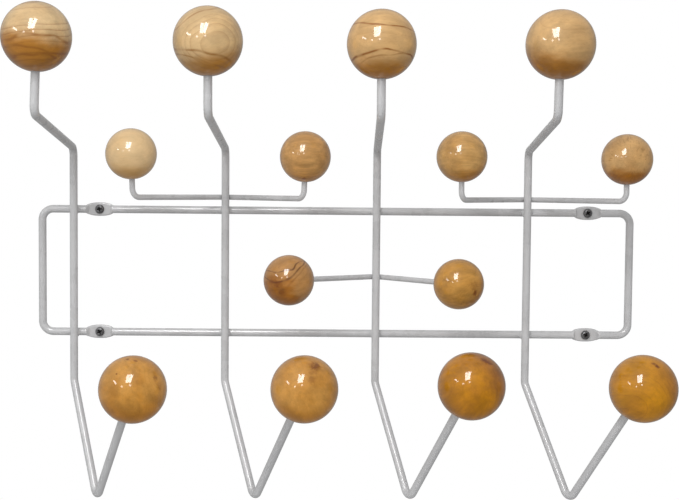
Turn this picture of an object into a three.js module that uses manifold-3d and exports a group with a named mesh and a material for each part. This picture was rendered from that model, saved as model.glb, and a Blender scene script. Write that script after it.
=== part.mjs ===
/*
 * Wall-mounted hook rack.
 *
 * A closed loop of wire is screwed to the wall through four pads pressed into it. Four bent
 * wire hooks are welded across the front of the loop, each ending in a large wooden ball above
 * and another below. Three thinner wire arms, welded behind the hooks, carry six small balls.
 *
 * Millimetres. +X is the viewer's right, +Z is up and +Y points into the wall. The origin is
 * on the wall plane, midway between the four screws.
 */
import * as THREE from 'three';
import { mergeVertices } from 'three/addons/utils/BufferGeometryUtils.js';
import Module from 'manifold-3d';

const wasm = await Module();
wasm.setup();

// ---- Driving dimensions ----

const GAP = 0.3; // left between neighbouring solids, where the weld or the glue goes

// Wire
const MAIN_WIRE = 6.35; // diameter of the loop and the hooks
const ARM_WIRE = 4.3; // diameter of the arms
const MAIN_BEND = 8; // centre-line radius of the hooks' bends
const TIP_BEND = 6.5; // centre-line radius at the bottom of the V
const ARM_BEND = 7; // centre-line radius where an arm turns up
const LOOP_BEND = 9; // centre-line radius of the loop's corners
const ARM_FOLD = MAIN_WIRE / 2 + GAP + ARM_WIRE / 2; // an arm folds round the back of its hook

// Wall loop
const SCREW_SPACING = 406.4; // across, 16 inches
const LOOP_HEIGHT = 102.2; // between the centre lines of the two bars
const LEFT_OVERHANG = 47.5; // from the left screws to the loop's left side
const RIGHT_OVERHANG = 35.5; // from the right screws to the loop's right side

// Pads pressed into the loop, and the screws through them
const PAD_LENGTH = 22;
const PAD_HEIGHT = 11.3;
const PAD_THICKNESS = 3;
const PAD_NECK = 5; // height where the pad runs out into the wire
const PAD_LAP = 2.5; // how far the wire reaches into the pad
const SCREW_HOLE = 4.6;
const SCREW_SHANK = 3.6;
const SCREW_HEAD = 7.4;
const HEAD_HEIGHT = 2.4;
const SCREW_LENGTH = 32; // under the head
const SCREW_POINT = 6;
const RECESS_SPAN = 4.2;
const RECESS_WIDTH = 1;
const RECESS_DEPTH = 1.5;

// Hooks: heights are from the middle of the loop, and reaches are from the upright wire
const HOOK_PITCH = 125;
const FIRST_HOOK_INSET = 27.3; // from the loop's left side
const UPRIGHT_TOP = 101.5;
const UPRIGHT_BOTTOM = -91;
const SHELF_REACH = 128.7;
const SHELF_END_HEIGHT = 121.4;
const TOP_BALL_HEIGHT = 174;
const TIP_REACH = 55.4;
const TIP_HEIGHT = -178;
const BOTTOM_BALL_REACH = 134.2;
const BOTTOM_BALL_HEIGHT = -76.6;
const LOWER_TURN = THREE.MathUtils.degToRad(30.1); // the V swings to the right about the upright

// The hooks aren't quite alike, so each one's bends stand a little off the pattern: shelf and tip
// are how far to the right, and topBall and bottomBall how far to the right and up
const HOOK_SETS = [
  { shelf: -1, topBall: [1, 2], tip: 0, bottomBall: [0, -2] },
  { shelf: -2, topBall: [-2, 0], tip: 0, bottomBall: [1, -1] },
  { shelf: -3, topBall: [-3, -1], tip: -2, bottomBall: [-1, 2] },
  { shelf: -1, topBall: [0, 0], tip: 1, bottomBall: [1, 1] },
];

// Arms: turns and balls are how far those stand to the left and right of the hook, and tilt is
// how much higher the left ball is set than the pattern, and the right ball lower
const UPPER_ARM_HEIGHT = 61.9;
const UPPER_ARM_REACH = 71.1;
const UPPER_BALL_HEIGHT = 94.5;
const LEFT_ARM = { turns: [-65, 66], balls: [-66, 67], tilt: 0.5 };
const RIGHT_ARM = { turns: [-63, 64], balls: [-63, 64], tilt: 0.5 };
const MIDDLE_ARM_HEIGHT = -3.4;
const MIDDLE_REACH = 69.3;
const MIDDLE_BALLS = [-70, 61];
const MIDDLE_BALL_HEIGHTS = [-1, -3];
const UPPER_LEFT_ARM_HOOK = 1; // the hook each arm crosses, counted from 0 at the left
const MIDDLE_ARM_HOOK = 2;
const UPPER_RIGHT_ARM_HOOK = 3;

// Balls
const LARGE_BALL = 50;
const SMALL_BALL = 39;
const BORE_STOP = 3; // a wire stops this far short of its ball's centre

// Facets
const MAIN_SIDES = 12;
const ARM_SIDES = 8;
const BALL_SIDES = 20;
const BALL_BANDS = 10;
const SCREW_SIDES = 12;
const PAD_CURVE_STEPS = 8;
const BEND_STEP = THREE.MathUtils.degToRad(24);

// ---- Worked-out places ----

const UP = new THREE.Vector3(0, 1, 0); // the axis a turned shape is made about
const LOOP_LEFT = -SCREW_SPACING / 2 - LEFT_OVERHANG;
const LOOP_RIGHT = SCREW_SPACING / 2 + RIGHT_OVERHANG;
const LOOP_Y = -MAIN_WIRE / 2;
const HOOK_Y = -MAIN_WIRE - GAP - MAIN_WIRE / 2;
const FIRST_HOOK_X = LOOP_LEFT + FIRST_HOOK_INSET;

// ---- Finishes ----

const paint = new THREE.MeshStandardMaterial({ color: 0xc4c4c4, roughness: 0.4, metalness: 0.1 });
const zinc = new THREE.MeshStandardMaterial({ color: 0x6d6d70, roughness: 0.35, metalness: 1 });
const paleWood = new THREE.MeshStandardMaterial({ color: 0xdcb887, roughness: 0.25, metalness: 0 });
const honeyWood = new THREE.MeshStandardMaterial({ color: 0xc89a5c, roughness: 0.25, metalness: 0 });
const amberWood = new THREE.MeshStandardMaterial({ color: 0xb9843e, roughness: 0.25, metalness: 0 });

// ---- Shape helpers ----

/** A bent wire's centre line: straight runs joined by arcs, with stations only where it bends. */
class CentreLine extends THREE.Curve {
  /** corners is a list of points, and radii holds one bend radius for each inner point. */
  constructor(corners, radii) {
    super();
    const last = corners.length - 1;
    this.stations = [];
    this.addStation(corners[0], heading(corners[0], corners[1]));
    for (let i = 1; i < last; i += 1) {
      this.addBend(corners[i - 1], corners[i], corners[i + 1], radii[i - 1]);
    }
    this.addStation(corners[last], heading(corners[last - 1], corners[last]));
  }

  get steps() {
    return this.stations.length - 1;
  }

  addStation(point, tangent) {
    this.stations.push({ point, tangent });
  }

  addBend(before, corner, after, radius) {
    const inward = heading(before, corner);
    const outward = heading(corner, after);
    const turn = inward.angleTo(outward);
    const side = outward.clone().addScaledVector(inward, -outward.dot(inward)).normalize();
    const start = corner.clone().addScaledVector(inward, -radius * Math.tan(turn / 2));
    const centre = start.clone().addScaledVector(side, radius);
    const segments = Math.max(2, Math.ceil(turn / BEND_STEP));
    for (let i = 0; i <= segments; i += 1) {
      const angle = (turn * i) / segments;
      const point = centre.clone();
      point.addScaledVector(side, -radius * Math.cos(angle));
      point.addScaledVector(inward, radius * Math.sin(angle));
      const tangent = inward.clone().multiplyScalar(Math.cos(angle));
      tangent.addScaledVector(side, Math.sin(angle));
      this.addStation(point, tangent);
    }
  }

  stationAt(u) {
    return this.stations[Math.round(u * this.steps)];
  }

  getPointAt(u) {
    return this.stationAt(u).point.clone();
  }

  getTangentAt(u) {
    return this.stationAt(u).tangent.clone();
  }
}

/** The unit vector from one point towards another. */
function heading(from, to) {
  return to.clone().sub(from).normalize();
}

/** A round wire's section, with a flat facing each way along both section axes. */
function wireSection(diameter, sides) {
  const points = [];
  for (let i = 0; i < sides; i += 1) {
    const angle = ((i + 0.5) / sides) * 2 * Math.PI;
    points.push(new THREE.Vector2(Math.cos(angle), Math.sin(angle)).multiplyScalar(diameter / 2));
  }
  return new THREE.Shape(points);
}

/** A solid wire bent through the corners. */
function bentWire(corners, radii, diameter, sides) {
  const path = new CentreLine(corners, radii);
  return new THREE.ExtrudeGeometry(wireSection(diameter, sides), {
    extrudePath: path,
    steps: path.steps,
  });
}

/** The three.js geometry as a manifold solid. */
function toSolid(geometry) {
  const bare = geometry.clone();
  bare.deleteAttribute('normal');
  bare.deleteAttribute('uv');
  const merged = mergeVertices(bare, 1e-4);
  return new wasm.Manifold(new wasm.Mesh({
    numProp: 3,
    vertProperties: new Float32Array(merged.attributes.position.array),
    triVerts: new Uint32Array(merged.index.array),
  }));
}

/** A manifold solid as a flat-shaded three.js geometry. */
function toGeometry(solid) {
  const mesh = solid.getMesh();
  const geometry = new THREE.BufferGeometry();
  geometry.setAttribute('position', new THREE.BufferAttribute(mesh.vertProperties, 3));
  geometry.setIndex(new THREE.BufferAttribute(mesh.triVerts, 1));
  const flat = geometry.toNonIndexed();
  flat.computeVertexNormals();
  return flat;
}

/** Turns a mesh so that what was made along +Y lies along direction. */
function aim(mesh, direction) {
  mesh.quaternion.setFromUnitVectors(UP, direction.clone().normalize());
  return mesh;
}

// ---- Wall loop ----

/** A flattened pad's outline: it swells from the wire to its full height and has a screw hole. */
function padShape() {
  const end = PAD_LENGTH / 2;
  const neck = PAD_NECK / 2;
  const swell = PAD_HEIGHT - neck; // the control height at which the curve peaks at the full height
  const shape = new THREE.Shape();
  shape.moveTo(-end, -neck);
  shape.quadraticCurveTo(0, -swell, end, -neck);
  shape.lineTo(end, neck);
  shape.quadraticCurveTo(0, swell, -end, neck);
  shape.closePath();
  const hole = new THREE.Path();
  hole.absarc(0, 0, SCREW_HOLE / 2, 0, 2 * Math.PI, true);
  shape.holes.push(hole);
  return shape;
}

/** One pad, its flat back on the wall plane, centred on a screw. */
function padSolid(x, z) {
  const pad = new THREE.ExtrudeGeometry(padShape(), {
    depth: PAD_THICKNESS,
    bevelEnabled: false,
    curveSegments: PAD_CURVE_STEPS,
  });
  pad.rotateX(Math.PI / 2);
  pad.translate(x, 0, z);
  return toSolid(pad);
}

/** One stretch of the loop's wire through points given as [x, z]. */
function loopRun(places) {
  const corners = places.map(([x, z]) => new THREE.Vector3(x, LOOP_Y, z));
  const radii = corners.slice(1, -1).map(() => LOOP_BEND);
  return toSolid(bentWire(corners, radii, MAIN_WIRE, MAIN_SIDES));
}

/** The closed loop with its four pads, as one solid. */
function wallFrame() {
  const top = LOOP_HEIGHT / 2;
  const screw = SCREW_SPACING / 2;
  const outer = screw + PAD_LENGTH / 2 - PAD_LAP;
  const inner = screw - PAD_LENGTH / 2 + PAD_LAP;
  let loop = loopRun([[-outer, top], [LOOP_LEFT, top], [LOOP_LEFT, -top], [-outer, -top]]);
  loop = loop.add(loopRun([[outer, top], [LOOP_RIGHT, top], [LOOP_RIGHT, -top], [outer, -top]]));
  for (const z of [top, -top]) {
    loop = loop.add(loopRun([[-inner, z], [inner, z]]));
    for (const x of [-screw, screw]) {
      loop = loop.add(padSolid(x, z));
    }
  }
  const mesh = new THREE.Mesh(toGeometry(loop), paint);
  mesh.name = 'wall_frame';
  return mesh;
}

// ---- Screws ----

/** A round-head wood screw made along +Y, from its point up to its cross-recessed head. */
function screwGeometry() {
  const shank = SCREW_SHANK / 2;
  const head = SCREW_HEAD / 2;
  const profile = [
    new THREE.Vector2(0, -SCREW_LENGTH),
    new THREE.Vector2(shank, -SCREW_LENGTH + SCREW_POINT),
    new THREE.Vector2(shank, 0),
    new THREE.Vector2(head, 0),
    new THREE.Vector2(head, HEAD_HEIGHT * 0.35),
    new THREE.Vector2(head * 0.85, HEAD_HEIGHT * 0.75),
    new THREE.Vector2(head * 0.5, HEAD_HEIGHT),
    new THREE.Vector2(0, HEAD_HEIGHT),
  ];
  let solid = toSolid(new THREE.LatheGeometry(profile, SCREW_SIDES));
  for (const [width, length] of [[RECESS_SPAN, RECESS_WIDTH], [RECESS_WIDTH, RECESS_SPAN]]) {
    const slot = new THREE.BoxGeometry(width, 2 * RECESS_DEPTH, length);
    slot.translate(0, HEAD_HEIGHT, 0);
    solid = solid.subtract(toSolid(slot));
  }
  return toGeometry(solid);
}

/** The four screws, each seated on the front of its pad. */
function wallScrews() {
  const geometry = screwGeometry();
  const screws = [];
  for (const [row, z] of [['top', LOOP_HEIGHT / 2], ['bottom', -LOOP_HEIGHT / 2]]) {
    for (const [side, x] of [['left', -SCREW_SPACING / 2], ['right', SCREW_SPACING / 2]]) {
      const screw = new THREE.Mesh(geometry, zinc);
      screw.name = `wall_screw_${row}_${side}`;
      screw.position.set(x, -PAD_THICKNESS - GAP, z);
      screw.rotation.x = Math.PI;
      screws.push(screw);
    }
  }
  return screws;
}

// ---- Balls ----

/** A ball about +Y with a blind bore that comes up from below for a wire. */
function ballGeometry(diameter, wire) {
  const radius = diameter / 2;
  const bore = wire / 2 + GAP;
  const mouth = Math.asin(bore / radius);
  const profile = [
    new THREE.Vector2(0, GAP - BORE_STOP),
    new THREE.Vector2(bore, GAP - BORE_STOP),
  ];
  for (let i = 0; i <= BALL_BANDS; i += 1) {
    const angle = mouth + ((Math.PI - mouth) * i) / BALL_BANDS;
    profile.push(new THREE.Vector2(radius * Math.sin(angle), -radius * Math.cos(angle)));
  }
  profile[profile.length - 1].x = 0;
  return new THREE.LatheGeometry(profile, BALL_SIDES);
}

const largeBall = ballGeometry(LARGE_BALL, MAIN_WIRE);
const smallBall = ballGeometry(SMALL_BALL, ARM_WIRE);

/** A ball at a place, with its bore opening back along the direction of the wire that enters it. */
function ball(name, geometry, material, centre, direction) {
  const mesh = aim(new THREE.Mesh(geometry, material), direction);
  mesh.name = name;
  mesh.position.copy(centre);
  return mesh;
}

/** Where the wire that runs from a corner into a ball stops. */
function wireEnd(corner, centre) {
  return centre.clone().addScaledVector(heading(corner, centre), -BORE_STOP);
}

// ---- Hooks ----

/** A point in the lower V's plane, which is turned about the upright, moved right by shift. */
function lowerPoint(reach, height, shift) {
  const right = reach * Math.sin(LOWER_TURN) + shift;
  return new THREE.Vector3(right, -reach * Math.cos(LOWER_TURN), height);
}

/** One hook about its upright: the wire and its two large balls. */
function hook(number, set) {
  const [topShift, topRise] = set.topBall;
  const [bottomShift, bottomRise] = set.bottomBall;
  const topBall = new THREE.Vector3(topShift, -SHELF_REACH, TOP_BALL_HEIGHT + topRise);
  const shelfEnd = new THREE.Vector3(set.shelf, -SHELF_REACH, SHELF_END_HEIGHT);
  const uprightTop = new THREE.Vector3(0, 0, UPRIGHT_TOP);
  const uprightBottom = new THREE.Vector3(0, 0, UPRIGHT_BOTTOM);
  const tip = lowerPoint(TIP_REACH, TIP_HEIGHT, set.tip);
  const bottomBall = lowerPoint(BOTTOM_BALL_REACH, BOTTOM_BALL_HEIGHT + bottomRise, bottomShift);
  const corners = [
    wireEnd(shelfEnd, topBall),
    shelfEnd,
    uprightTop,
    uprightBottom,
    tip,
    wireEnd(tip, bottomBall),
  ];
  const radii = [MAIN_BEND, MAIN_BEND, MAIN_BEND, TIP_BEND];
  const wire = new THREE.Mesh(bentWire(corners, radii, MAIN_WIRE, MAIN_SIDES), paint);
  wire.name = `hook_wire_${number}`;
  const group = new THREE.Group();
  group.add(wire);
  group.add(ball(`top_ball_${number}`, largeBall, paleWood, topBall, heading(shelfEnd, topBall)));
  group.add(ball(`bottom_ball_${number}`, largeBall, amberWood, bottomBall, heading(tip, bottomBall)));
  return group;
}

// ---- Arms ----

/** The corner between an arm's two straight runs, placed so that its fold wraps the upright. */
function foldCorner(left, right, height) {
  const normals = [[left, -1], [right, 1]].map(([end, sign]) => {
    const flat = new THREE.Vector2(end.x, end.y);
    const turn = sign * Math.acos(ARM_FOLD / flat.length());
    return flat.normalize().rotateAround(new THREE.Vector2(), turn);
  });
  const corner = normals[0].clone().add(normals[1]);
  corner.multiplyScalar(ARM_FOLD / (1 + normals[0].dot(normals[1])));
  return new THREE.Vector3(corner.x, corner.y, height);
}

/** An arm about its hook's upright: the wire and the two small balls on its ends. */
function arm(name, corners, radii, balls) {
  const group = new THREE.Group();
  const wire = new THREE.Mesh(bentWire(corners, radii, ARM_WIRE, ARM_SIDES), paint);
  wire.name = name;
  group.add(wire);
  for (const { side, material, from, centre } of balls) {
    group.add(ball(`${name}_ball_${side}`, smallBall, material, centre, heading(from, centre)));
  }
  return group;
}

/** An arm folded behind a hook, with both ends turned up into their balls. */
function upperArm(name, set, leftWood, rightWood) {
  const { turns, balls, tilt } = set;
  const [left, right] = turns.map((x) => new THREE.Vector3(x, -UPPER_ARM_REACH, UPPER_ARM_HEIGHT));
  const leftBall = new THREE.Vector3(balls[0], -UPPER_ARM_REACH, UPPER_BALL_HEIGHT + tilt);
  const rightBall = new THREE.Vector3(balls[1], -UPPER_ARM_REACH, UPPER_BALL_HEIGHT - tilt);
  const fold = foldCorner(left, right, UPPER_ARM_HEIGHT);
  const corners = [wireEnd(left, leftBall), left, fold, right, wireEnd(right, rightBall)];
  return arm(name, corners, [ARM_BEND, ARM_FOLD, ARM_BEND], [
    { side: 'left', material: leftWood, from: left, centre: leftBall },
    { side: 'right', material: rightWood, from: right, centre: rightBall },
  ]);
}

/** The middle arm, whose straight ends run into their balls from the side. */
function middleArm(name) {
  const [left, right] = MIDDLE_BALLS.map(
    (x, i) => new THREE.Vector3(x, -MIDDLE_REACH, MIDDLE_BALL_HEIGHTS[i]),
  );
  const fold = foldCorner(left, right, MIDDLE_ARM_HEIGHT);
  const corners = [wireEnd(fold, left), fold, wireEnd(fold, right)];
  return arm(name, corners, [ARM_FOLD], [
    { side: 'left', material: amberWood, from: fold, centre: left },
    { side: 'right', material: amberWood, from: fold, centre: right },
  ]);
}

// ---- Assembly ----

const rack = new THREE.Group();
rack.add(wallFrame());
rack.add(...wallScrews());

/** Puts a group that was made about an upright where the hook with this index stands. */
function standAtHook(group, index) {
  group.position.set(FIRST_HOOK_X + index * HOOK_PITCH, HOOK_Y, 0);
  rack.add(group);
}

HOOK_SETS.forEach((set, i) => standAtHook(hook(i + 1, set), i));
standAtHook(upperArm('upper_arm_left', LEFT_ARM, paleWood, honeyWood), UPPER_LEFT_ARM_HOOK);
standAtHook(upperArm('upper_arm_right', RIGHT_ARM, honeyWood, honeyWood), UPPER_RIGHT_ARM_HOOK);
standAtHook(middleArm('middle_arm'), MIDDLE_ARM_HOOK);

export default rack;
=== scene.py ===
"""The looks of a wall-mounted hook rack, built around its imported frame.

A loop of painted wire with four pressed pads is screwed to the wall. Four bent wire hooks are
welded across its front and three forked arms behind them, and every free wire end sits in a
lacquered wooden ball. Everything is in metres, in the frame's own axes: +X is the viewer's
right, +Z is up and +Y points into the wall.
"""

import logging
import math
from collections.abc import Sequence
from dataclasses import dataclass, field
from enum import Enum

import bmesh
import bpy
from mathutils import Euler, Matrix, Vector, noise


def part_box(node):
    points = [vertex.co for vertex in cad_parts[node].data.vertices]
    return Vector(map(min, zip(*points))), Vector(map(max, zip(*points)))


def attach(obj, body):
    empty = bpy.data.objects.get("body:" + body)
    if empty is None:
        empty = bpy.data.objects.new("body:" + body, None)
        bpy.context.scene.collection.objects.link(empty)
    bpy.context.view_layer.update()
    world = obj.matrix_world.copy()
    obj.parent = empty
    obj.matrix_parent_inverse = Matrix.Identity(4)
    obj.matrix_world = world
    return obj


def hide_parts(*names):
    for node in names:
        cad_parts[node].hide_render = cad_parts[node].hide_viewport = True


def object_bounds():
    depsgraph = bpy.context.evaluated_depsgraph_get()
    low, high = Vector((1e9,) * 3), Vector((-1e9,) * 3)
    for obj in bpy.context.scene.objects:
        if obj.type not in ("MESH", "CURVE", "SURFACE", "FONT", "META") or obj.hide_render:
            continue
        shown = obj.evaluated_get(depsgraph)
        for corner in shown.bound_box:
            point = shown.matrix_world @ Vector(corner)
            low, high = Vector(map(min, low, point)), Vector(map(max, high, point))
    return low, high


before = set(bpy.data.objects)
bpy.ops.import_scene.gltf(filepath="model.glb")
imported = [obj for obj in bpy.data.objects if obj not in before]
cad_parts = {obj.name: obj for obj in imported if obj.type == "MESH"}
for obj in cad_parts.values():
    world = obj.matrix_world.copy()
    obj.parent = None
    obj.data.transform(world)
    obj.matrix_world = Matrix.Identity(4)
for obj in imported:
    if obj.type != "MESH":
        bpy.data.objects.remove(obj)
CAD_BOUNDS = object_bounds()

log = logging.getLogger("hook_rack")

Socket = bpy.types.NodeSocket
Colour = tuple[float, float, float]
Triple = tuple[float, float, float]
Number = float | Socket
Point = Socket | Vector | Triple

MM = 0.001
BODY = "root"
SHARP_ANGLE = math.radians(38)
UP = Vector((0, 0, 1))


class Slot(Enum):
    """The record's material slots."""

    WIRE = "painted_wire"
    SCREW = "screw_steel"
    PALE = "wood_pale"
    HONEY = "wood_honey"
    AMBER = "wood_amber"


# ---------------------------------------------------------------- small helpers


def linear(red: int, green: int, blue: int) -> Colour:
    """Turns a display colour into the linear one that shaders use.

    Args:
        red: Red, from 0 to 255.
        green: Green, from 0 to 255.
        blue: Blue, from 0 to 255.

    Returns:
        The linear colour, each channel from 0 to 1.
    """
    channels = (value / 255 for value in (red, green, blue))
    return tuple(c / 12.92 if c <= 0.04045 else ((c + 0.055) / 1.055) ** 2.4 for c in channels)


def centre_of(node: str) -> Vector:
    """Finds the middle of a frame node's box.

    Args:
        node: The node's name.

    Returns:
        The middle point.
    """
    low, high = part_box(node)
    return (low + high) / 2


def finish_piece(name: str, bm: bmesh.types.BMesh, material: bpy.types.Material,
                 stands_for: Sequence[str] = ()) -> bpy.types.Object:
    """Makes an object of a finished bmesh and ties it to the frame.

    Args:
        name: The piece's name.
        bm: The mesh, in place. It is freed.
        material: The piece's material.
        stands_for: The frame nodes that the piece replaces.

    Returns:
        The new object, riding on the rack's one body.
    """
    bmesh.ops.recalc_face_normals(bm, faces=bm.faces)
    mesh = bpy.data.meshes.new(name)
    bm.to_mesh(mesh)
    bm.free()
    mesh.shade_smooth()
    mesh.set_sharp_from_angle(angle=SHARP_ANGLE)
    mesh.materials.append(material)
    piece = bpy.data.objects.new(name, mesh)
    bpy.context.scene.collection.objects.link(piece)
    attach(piece, BODY)
    if stands_for:
        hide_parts(*stands_for)
    log.info("%s: %d faces", name, len(mesh.polygons))
    return piece


# ---------------------------------------------------------------- finishes


class Shader:
    """One material's node tree, with short calls that add and join nodes."""

    def __init__(self, name: str) -> None:
        """Starts a material with one surface shader.

        Args:
            name: The material's name.
        """
        self.material = bpy.data.materials.new(name)
        self.material.use_nodes = True
        self.tree = self.material.node_tree
        self.surface = self.tree.nodes["Principled BSDF"]

    def add(self, kind: str, inputs: dict[str | int, object] | None = None,
            **settings: object) -> bpy.types.Node:
        """Adds a node.

        Args:
            kind: The node's type name.
            inputs: Input sockets by name or number, each a value or a socket to link from.
            **settings: The node's own settings.

        Returns:
            The node.
        """
        node = self.tree.nodes.new(kind)
        for key, value in settings.items():
            setattr(node, key, value)
        for key, value in (inputs or {}).items():
            if isinstance(value, Socket):
                self.tree.links.new(value, node.inputs[key])
            else:
                node.inputs[key].default_value = value
        return node

    def set(self, **inputs: object) -> None:
        """Sets or links the surface shader's sockets.

        Args:
            **inputs: Each socket's value or link, by its name with underscores for spaces.
        """
        for key, value in inputs.items():
            socket = self.surface.inputs[key.replace("_", " ")]
            if isinstance(value, Socket):
                self.tree.links.new(value, socket)
            else:
                socket.default_value = value

    def place(self, origin: Vector, turn: Triple = (0, 0, 0), scale: float = 1.0) -> Socket:
        """Gives the object's coordinates about a point.

        Args:
            origin: The point that becomes the pattern's origin.
            turn: The pattern's turn about X, Y and Z, in degrees.
            scale: The length that becomes 1, in metres.

        Returns:
            The coordinates' socket.
        """
        source = self.add("ShaderNodeTexCoord").outputs["Object"]
        angles = tuple(math.radians(a) for a in turn)
        inputs = {"Vector": source, "Location": origin, "Rotation": angles, "Scale": (scale,) * 3}
        return self.add("ShaderNodeMapping", inputs, vector_type="TEXTURE").outputs[0]

    def math(self, operation: str, *values: Number, clamp: bool = False) -> Socket:
        """Works out a number from one to three numbers or sockets."""
        inputs = dict(enumerate(values))
        return self.add("ShaderNodeMath", inputs, operation=operation, use_clamp=clamp).outputs[0]

    def vector(self, operation: str, first: Point, second: Point | None = None,
               output: str = "Vector", scale: Number | None = None) -> Socket:
        """Works out a vector, or a number such as a length, from vectors.

        Args:
            operation: The vector operation.
            first: The first vector or socket.
            second: The second one, where the operation has it.
            output: The output socket's name.
            scale: The factor of a SCALE operation.

        Returns:
            The result's socket.
        """
        inputs = {0: first}
        if second is not None:
            inputs[1] = second
        if scale is not None:
            inputs["Scale"] = scale
        return self.add("ShaderNodeVectorMath", inputs, operation=operation).outputs[output]

    def noise(self, vector: Socket, scale: float, detail: float = 2.0, roughness: float = 0.5,
              output: str = "Fac") -> Socket:
        """Adds a noise pattern.

        Args:
            vector: The coordinates' socket.
            scale: Features a metre.
            detail: How many finer layers it has.
            roughness: How strong the finer layers are.
            output: Fac or Color.

        Returns:
            The pattern's socket.
        """
        inputs = {"Vector": vector, "Scale": scale, "Detail": detail, "Roughness": roughness}
        return self.add("ShaderNodeTexNoise", inputs).outputs[output]

    def remap(self, value: Number, low: float, high: float, to_low: float = 0.0,
              to_high: float = 1.0, smooth: bool = True) -> Socket:
        """Maps a range of numbers on another, held at its ends.

        Args:
            value: The number's socket.
            low: The number that becomes to_low.
            high: The number that becomes to_high.
            to_low: What low becomes.
            to_high: What high becomes.
            smooth: Whether the change eases in and out.

        Returns:
            The mapped number's socket.
        """
        inputs = {"Value": value, 1: low, 2: high, 3: to_low, 4: to_high}
        kind = "SMOOTHSTEP" if smooth else "LINEAR"
        return self.add("ShaderNodeMapRange", inputs, interpolation_type=kind).outputs[0]

    def mix(self, factor: Number, first: Socket | Colour, second: Socket | Colour) -> Socket:
        """Mixes two colours.

        Args:
            factor: How much of the second.
            first: The first colour.
            second: The second colour.

        Returns:
            The mixed colour's socket.
        """
        node = self.add("ShaderNodeMix", data_type="RGBA")
        sockets = [s for s in node.inputs if s.enabled]
        for socket, value in zip(sockets, (factor, first, second)):
            if isinstance(value, Socket):
                self.tree.links.new(value, socket)
            elif isinstance(value, tuple):
                socket.default_value = (*value, 1.0)
            else:
                socket.default_value = value
        return next(s for s in node.outputs if s.enabled)

    def bump(self, height: Socket, distance: float, normal: Socket | None = None) -> Socket:
        """Turns a height pattern into a surface normal.

        Args:
            height: The height's socket, from 0 to 1.
            distance: How high 1 is, in metres.
            normal: A normal to build on.

        Returns:
            The normal's socket.
        """
        inputs = {"Height": height, "Distance": distance, "Strength": 1.0}
        if normal is not None:
            inputs["Normal"] = normal
        return self.add("ShaderNodeBump", inputs).outputs[0]


@dataclass(frozen=True)
class Enamel:
    """Baked light grey paint on wire: satin, with a faint orange peel and uneven thickness.

    A pattern's size is in features a metre.
    """

    thick: Colour = linear(199, 199, 200)
    thin: Colour = linear(190, 190, 191)
    drift_size: float = 45.0
    gloss: float = 0.24
    matt: float = 0.34
    topcoat: float = 0.7
    topcoat_roughness: float = 0.13
    peel_size: float = 900.0
    peel_height: float = 0.007 * MM
    sag_size: float = 140.0
    sag_height: float = 0.05 * MM

    def make(self, name: str) -> bpy.types.Material:
        """Builds the paint.

        Args:
            name: The material's name.

        Returns:
            The material.
        """
        shader = Shader(name)
        place = shader.place(Vector())
        drift = shader.noise(place, self.drift_size, 3.0, 0.6)
        peel = shader.noise(place, self.peel_size, 2.0, 0.4)
        sag = shader.noise(place, self.sag_size, 2.0, 0.5)
        cover = shader.remap(drift, 0.35, 0.65)
        normal = shader.bump(sag, self.sag_height)
        normal = shader.bump(peel, self.peel_height, normal=normal)
        shader.set(
            Base_Color=shader.mix(cover, self.thin, self.thick),
            Roughness=shader.remap(drift, 0.3, 0.7, self.gloss, self.matt),
            Coat_Weight=self.topcoat,
            Coat_Roughness=self.topcoat_roughness,
            Normal=normal,
        )
        return shader.material


@dataclass(frozen=True)
class ZincPlate:
    """Zinc-plated steel, handled, for the screws, with painted shade in the cross recess and round the head's
    rim.

    A pattern's size is in features a metre, and the rim's limits are shares of the head's radius.
    """

    bright: Colour = linear(158, 158, 160)
    dull: Colour = linear(116, 116, 118)
    shade_tone: Colour = linear(24, 23, 22)
    cloud_size: float = 420.0
    shade_start: float = 0.15 * MM
    shade_full: float = 0.7 * MM
    rim_start: float = 0.84
    rim_full: float = 0.97
    rim_shade: float = 0.85
    shiny: float = 0.36
    worn: float = 0.52
    grain_size: float = 2600.0
    grain_height: float = 0.006 * MM

    def make(self, name: str, centre: Vector, head: float, crown: float) -> bpy.types.Material:
        """Builds the plating, with painted shade that darkens the recess and the head's rim.

        Args:
            name: The material's name.
            centre: The middle of the head's face.
            head: The head's radius.
            crown: The radius within which only the recess is lower than the face.

        Returns:
            The material.
        """
        shader = Shader(name)
        place = shader.place(centre)
        cloud = shader.noise(place, self.cloud_size, 3.0, 0.6)
        grain = shader.noise(place, self.grain_size, 2.0, 0.6)
        off_axis = shader.vector("LENGTH", shader.vector("MULTIPLY", place, (1, 0, 1)), output="Value")
        depth = shader.add("ShaderNodeSeparateXYZ", {0: place}).outputs[1]
        # painted shade: the cross recess and a ring at the head's rim are darkened towards a near-black tone
        # and lose their metal
        sunk = shader.remap(depth, self.shade_start, self.shade_full)
        sunk = shader.math("MULTIPLY", sunk, shader.remap(off_axis, crown, 1.1 * crown, 1.0, 0.0))
        rim = shader.remap(off_axis, self.rim_start * head, self.rim_full * head, 0.0, self.rim_shade)
        steel = shader.mix(shader.remap(cloud, 0.35, 0.65), self.dull, self.bright)
        painted_shade = shader.math("MAXIMUM", sunk, rim)
        shader.set(
            Base_Color=shader.mix(painted_shade, steel, self.shade_tone),
            Metallic=shader.remap(painted_shade, 0.0, 1.0, 0.85, 0.0, smooth=False),
            Roughness=shader.remap(cloud, 0.3, 0.7, self.shiny, self.worn),
            Normal=shader.bump(grain, self.grain_height),
        )
        return shader.material


KNOT_BROWN = linear(112, 56, 10)


@dataclass(frozen=True)
class Knot:
    """A pin knot that comes out at the ball's surface.

    It lies right of the ball's front and up from its middle, in degrees. Its size is in ball radii.
    """

    right: float
    up: float
    size: float
    depth: float = 0.8
    pull: float = 1.0

    @property
    def towards(self) -> Vector:
        """The way from the ball's centre to the knot."""
        right, up = math.radians(self.right), math.radians(self.up)
        return Vector((math.sin(right) * math.cos(up), -math.cos(right) * math.cos(up), math.sin(up)))


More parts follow.
